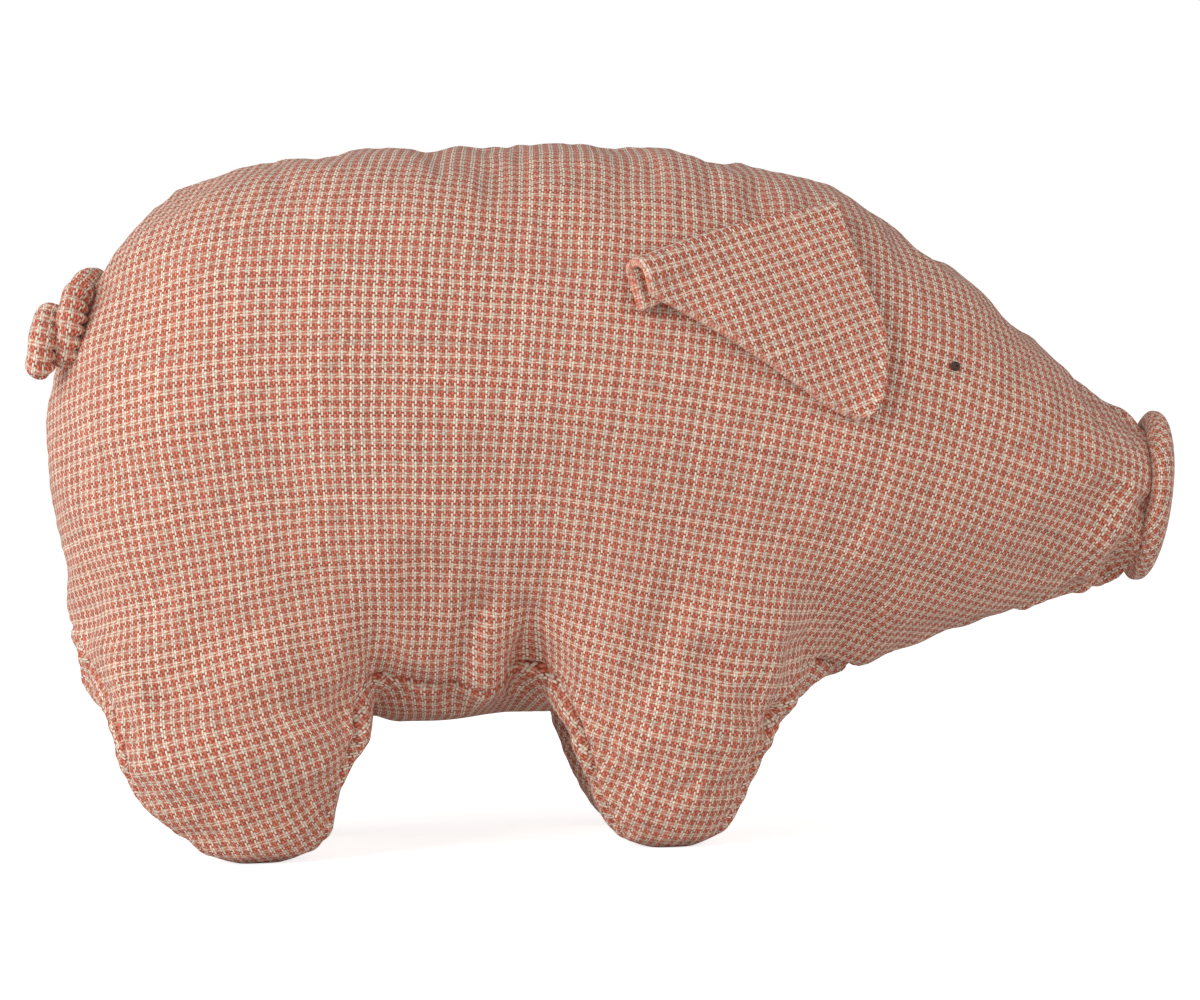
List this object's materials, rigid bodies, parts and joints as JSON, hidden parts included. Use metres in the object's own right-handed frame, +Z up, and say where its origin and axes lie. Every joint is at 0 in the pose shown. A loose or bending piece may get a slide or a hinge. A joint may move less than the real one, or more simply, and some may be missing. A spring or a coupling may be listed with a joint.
{
  "type": "plush pig",
  "caption": "Standing stuffed cloth pig with stubby legs, folded hanging ears, a padded round snout, thread-knot eyes and a curled tail.",
  "frame": {"origin": "on the floor under the middle of the whole toy's length and width", "axes": "+X towards the snout, +Y towards the pig's left side, +Z up"},
  "size_m": [0.3036, 0.1098, 0.1853],
  "materials": {
    "gingham_cloth": "plain-woven cotton in small red and cream checks, matt",
    "fibre_filling": "loose white polyester fibre",
    "dark_thread": "dark brown embroidery thread, matt"
  },
  "bodies": {
    "body": {"side_panel_right": "gingham_cloth", "side_panel_left": "gingham_cloth", "belly_gusset": "gingham_cloth", "snout_front_disc": "gingham_cloth", "snout_back_disc": "gingham_cloth", "body_filling": "fibre_filling", "head_filling": "fibre_filling", "hind_leg_right_filling": "fibre_filling", "hind_leg_left_filling": "fibre_filling", "front_leg_right_filling": "fibre_filling", "front_leg_left_filling": "fibre_filling", "snout_wadding": "fibre_filling", "eye_right": "dark_thread", "eye_left": "dark_thread", "ear_right_base": "gingham_cloth", "ear_left_base": "gingham_cloth"},
    "ear_right": {"ear_right_outer": "gingham_cloth", "ear_right_lining": "gingham_cloth"},
    "ear_left": {"ear_left_outer": "gingham_cloth", "ear_left_lining": "gingham_cloth"},
    "tail": {"tail_curl": "gingham_cloth"}
  },
  "joints": [
    {"name": "ear_right_fold", "type": "hinge", "parent": "body", "child": "ear_right", "pos_m": [0.03487, -0.04242, 0.16082], "axis": [-0.9378, -0.3113, -0.1534], "range_deg": [0, 120]},
    {"name": "ear_left_fold", "type": "hinge", "parent": "body", "child": "ear_left", "pos_m": [0.03487, 0.04242, 0.16082], "axis": [0.9378, -0.3113, 0.1534], "range_deg": [0, 120]},
    {"name": "tail_flop", "type": "hinge", "parent": "body", "child": "tail", "pos_m": [-0.13028, 0, 0.15398], "axis": [-0.7092, 0, -0.705], "range_deg": [0, 60]}
  ]
}
